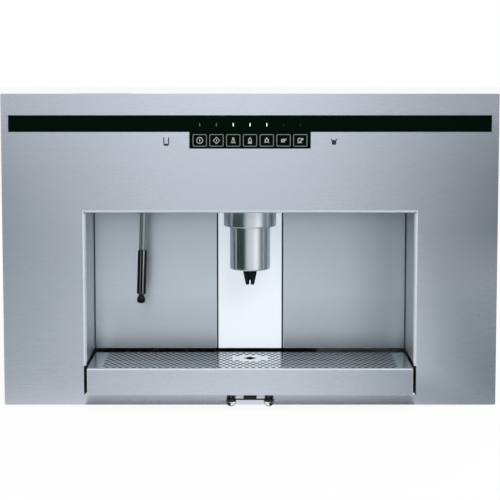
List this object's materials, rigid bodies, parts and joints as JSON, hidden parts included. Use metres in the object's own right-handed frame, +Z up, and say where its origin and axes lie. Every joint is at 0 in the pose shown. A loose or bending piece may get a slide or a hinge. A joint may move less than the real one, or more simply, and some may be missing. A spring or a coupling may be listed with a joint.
{
  "type": "built-in coffee machine",
  "caption": "Built-in coffee machine with a flush brushed-steel front, black glass key band, lit cup recess, spout, steam wand and drip tray, on telescopic runners.",
  "frame": {"origin": "centre of the mounting base's underside, on the niche shelf", "axes": "+X to the viewer's right, -Y out of the front, +Y into the cabinet, +Z up"},
  "size_m": [0.594, 0.3988, 0.378],
  "materials": {
    "brushed_steel": "brushed stainless steel, horizontal grain",
    "recess_steel": "brushed stainless steel, darker in the recess",
    "polished_steel": "polished stainless steel",
    "black_glass": "black back-printed glass, glossy",
    "opal_panel": "opal diffuser, lit cool white from behind",
    "white_plastic": "moulded white plastic",
    "black_plastic": "fine-textured black plastic",
    "black_rubber": "satin black heat-proof sleeve",
    "grey_plastic": "moulded grey plastic",
    "clear_plastic": "clear moulded plastic, slightly smoky",
    "circuit_board": "green lacquered circuit board",
    "cast_metal": "die-cast, satin",
    "silicone": "translucent silicone hose",
    "zinc_sheet": "galvanised sheet, matt",
    "rail_steel": "zinc-plated runner, satin bright"
  },
  "bodies": {
    "base": {"mounting_base": "zinc_sheet", "rail_outer_left": "rail_steel", "rail_outer_right": "rail_steel"},
    "middle_rails": {"rail_middle_left": "rail_steel", "rail_middle_right": "rail_steel"},
    "machine": {"face_plate": "brushed_steel", "recess_wall_left": "recess_steel", "recess_wall_right": "recess_steel", "recess_back_left": "recess_steel", "recess_back_right": "recess_steel", "recess_ceiling": "recess_steel", "display_window": "black_glass", "control_board": "circuit_board", "power_board": "circuit_board", "light_panel": "opal_panel", "lamp_housing": "white_plastic", "spout_housing": "polished_steel", "wand_socket": "cast_metal", "wand_collar": "black_plastic", "tray_runner_left": "zinc_sheet", "tray_runner_right": "zinc_sheet", "tank_cradle": "zinc_sheet", "bean_hopper": "clear_plastic", "grinder": "cast_metal", "drawer_guide": "zinc_sheet", "brew_unit": "black_plastic", "boiler": "cast_metal", "pump": "cast_metal", "mains_inlet": "black_plastic", "coffee_hose": "silicone", "front_frame": "zinc_sheet", "chassis_floor": "zinc_sheet", "side_panel_left": "zinc_sheet", "side_panel_right": "zinc_sheet", "back_panel": "zinc_sheet", "top_cover": "zinc_sheet", "rail_inner_left": "rail_steel", "rail_inner_right": "rail_steel"},
    "spout": {"spout_sleeve": "polished_steel", "spout_nozzles": "polished_steel"},
    "wand": {"wand_tube": "polished_steel", "wand_grip": "black_rubber", "wand_tip": "polished_steel"},
    "tray": {"tray_basin": "black_plastic", "tray_front": "brushed_steel", "tray_pull_bar": "black_plastic", "pull_knob_left": "polished_steel", "pull_knob_right": "polished_steel"},
    "grid": {"drip_grid": "brushed_steel"},
    "tank": {"water_tank": "clear_plastic"},
    "tank_flap": {"tank_lid": "grey_plastic"},
    "hopper_flap": {"hopper_lid": "grey_plastic"},
    "drawer": {"grounds_drawer": "black_plastic"},
    "push_key_1": {"key_1": "black_glass"},
    "push_key_2": {"key_2": "black_glass"},
    "push_key_3": {"key_3": "black_glass"},
    "push_key_4": {"key_4": "black_glass"},
    "push_key_5": {"key_5": "black_glass"},
    "push_key_6": {"key_6": "black_glass"},
    "push_key_7": {"key_7": "black_glass"}
  },
  "joints": [
    {"name": "machine_slide", "type": "slide", "parent": "base", "child": "machine", "axis": [0, -1, 0], "range_m": [0, 0.28]},
    {"name": "middle_rail_slide", "type": "slide", "parent": "base", "child": "middle_rails", "axis": [0, -1, 0], "range_m": [0, 0.14]},
    {"name": "key_1_press", "type": "slide", "parent": "machine", "child": "push_key_1", "axis": [0, 1, 0], "range_m": [0, 0.001], "stiffness_N_per_m": 1500, "springref_m": -0.0005},
    {"name": "key_2_press", "type": "slide", "parent": "machine", "child": "push_key_2", "axis": [0, 1, 0], "range_m": [0, 0.001], "stiffness_N_per_m": 1500, "springref_m": -0.0005},
    {"name": "key_3_press", "type": "slide", "parent": "machine", "child": "push_key_3", "axis": [0, 1, 0], "range_m": [0, 0.001], "stiffness_N_per_m": 1500, "springref_m": -0.0005},
    {"name": "key_4_press", "type": "slide", "parent": "machine", "child": "push_key_4", "axis": [0, 1, 0], "range_m": [0, 0.001], "stiffness_N_per_m": 1500, "springref_m": -0.0005},
    {"name": "key_5_press", "type": "slide", "parent": "machine", "child": "push_key_5", "axis": [0, 1, 0], "range_m": [0, 0.001], "stiffness_N_per_m": 1500, "springref_m": -0.0005},
    {"name": "key_6_press", "type": "slide", "parent": "machine", "child": "push_key_6", "axis": [0, 1, 0], "range_m": [0, 0.001], "stiffness_N_per_m": 1500, "springref_m": -0.0005},
    {"name": "key_7_press", "type": "slide", "parent": "machine", "child": "push_key_7", "axis": [0, 1, 0], "range_m": [0, 0.001], "stiffness_N_per_m": 1500, "springref_m": -0.0005},
    {"name": "spout_height", "type": "slide", "parent": "machine", "child": "spout", "axis": [0, 0, 1], "range_m": [-0.02, 0.03]},
    {"name": "wand_swing", "type": "hinge", "parent": "machine", "child": "wand", "pos_m": [-0.131, -0.16195, 0.238], "axis": [-1, 0, 0], "range_deg": [0, 30]},
    {"name": "tray_slide", "type": "slide", "parent": "machine", "child": "tray", "axis": [0, -1, 0], "range_m": [0, 0.095]},
    {"name": "grid_lift", "type": "slide", "parent": "tray", "child": "grid", "axis": [0, 0, 1], "range_m": [0, 0.03]},
    {"name": "tank_lift", "type": "slide", "parent": "machine", "child": "tank", "axis": [0, 0, 1], "range_m": [0, 0.215]},
    {"name": "tank_lid_hinge", "type": "hinge", "parent": "tank", "child": "tank_flap", "pos_m": [-0.2052, 0.0843, 0.37055], "axis": [-1, 0, 0], "range_deg": [0, 100]},
    {"name": "hopper_lid_hinge", "type": "hinge", "parent": "machine", "child": "hopper_flap", "pos_m": [0.15, 0.04505, 0.3698], "axis": [-1, 0, 0], "range_deg": [0, 100]},
    {"name": "drawer_slide", "type": "slide", "parent": "machine", "child": "drawer", "axis": [1, 0, 0], "range_m": [0, 0.15]}
  ],
  "couplings": [
    {"joint": "middle_rail_slide", "follows": "machine_slide", "ratio": 0.5}
  ]
}
